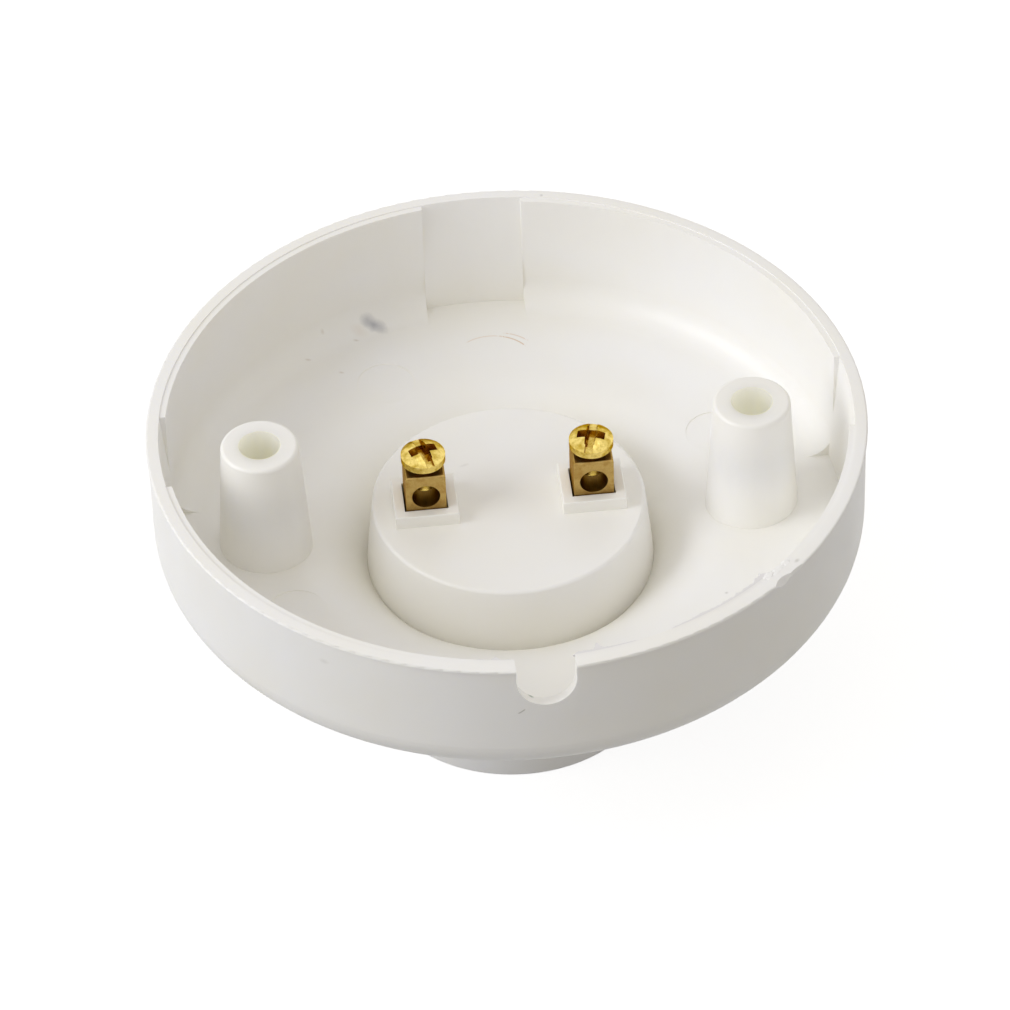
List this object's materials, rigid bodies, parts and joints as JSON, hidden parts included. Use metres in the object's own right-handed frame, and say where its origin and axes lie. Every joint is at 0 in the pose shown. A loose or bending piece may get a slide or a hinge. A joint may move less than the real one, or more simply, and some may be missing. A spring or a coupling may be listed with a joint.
{
  "type": "batten lamp holder",
  "caption": "White moulded ceiling lamp holder with a round base, fixing pillars, brass screw terminals and a bayonet socket with sprung contacts.",
  "frame": {"origin": "centre of the barrel's mouth, where the lamp cap goes in", "axes": "+Z from the mouth towards the open fixing side, +Y away from the cable notch, X along the line of the fixing pillars and terminals"},
  "size_m": [0.074, 0.0739, 0.0366],
  "materials": {
    "body_plastic": "satin white moulding",
    "terminal_brass": "cut brass, lightly dulled",
    "screw_brass": "bright brass",
    "plunger_brass": "turned brass",
    "spring_steel": "drawn wire",
    "plate_plastic": "matt white moulding",
    "fastener_steel": "plated steel"
  },
  "bodies": {
    "holder": {"body": "body_plastic", "terminal_left": "terminal_brass", "terminal_right": "terminal_brass", "contact_plate": "plate_plastic", "contact_plate_screw": "fastener_steel", "plunger_spring_left": "spring_steel", "plunger_spring_right": "spring_steel"},
    "plunger_left": {"plunger_left": "plunger_brass"},
    "plunger_right": {"plunger_right": "plunger_brass"},
    "terminal_screw_left": {"terminal_screw_left": "screw_brass"},
    "terminal_screw_right": {"terminal_screw_right": "screw_brass"}
  },
  "joints": [
    {"name": "plunger_left_slide", "type": "slide", "parent": "holder", "child": "plunger_left", "axis": [0, 0, 1], "range_m": [0, 0.003], "stiffness_N_per_m": 800, "springref_m": -0.002, "deforming": ["plunger_spring_left"]},
    {"name": "plunger_right_slide", "type": "slide", "parent": "holder", "child": "plunger_right", "axis": [0, 0, 1], "range_m": [0, 0.003], "stiffness_N_per_m": 800, "springref_m": -0.002, "deforming": ["plunger_spring_right"]},
    {"name": "terminal_screw_left_travel", "type": "slide", "parent": "holder", "child": "terminal_screw_left", "axis": [0, 0, 1], "range_m": [-0.0007, 0.0009]},
    {"name": "terminal_screw_right_travel", "type": "slide", "parent": "holder", "child": "terminal_screw_right", "axis": [0, 0, 1], "range_m": [-0.0007, 0.0009]}
  ]
}
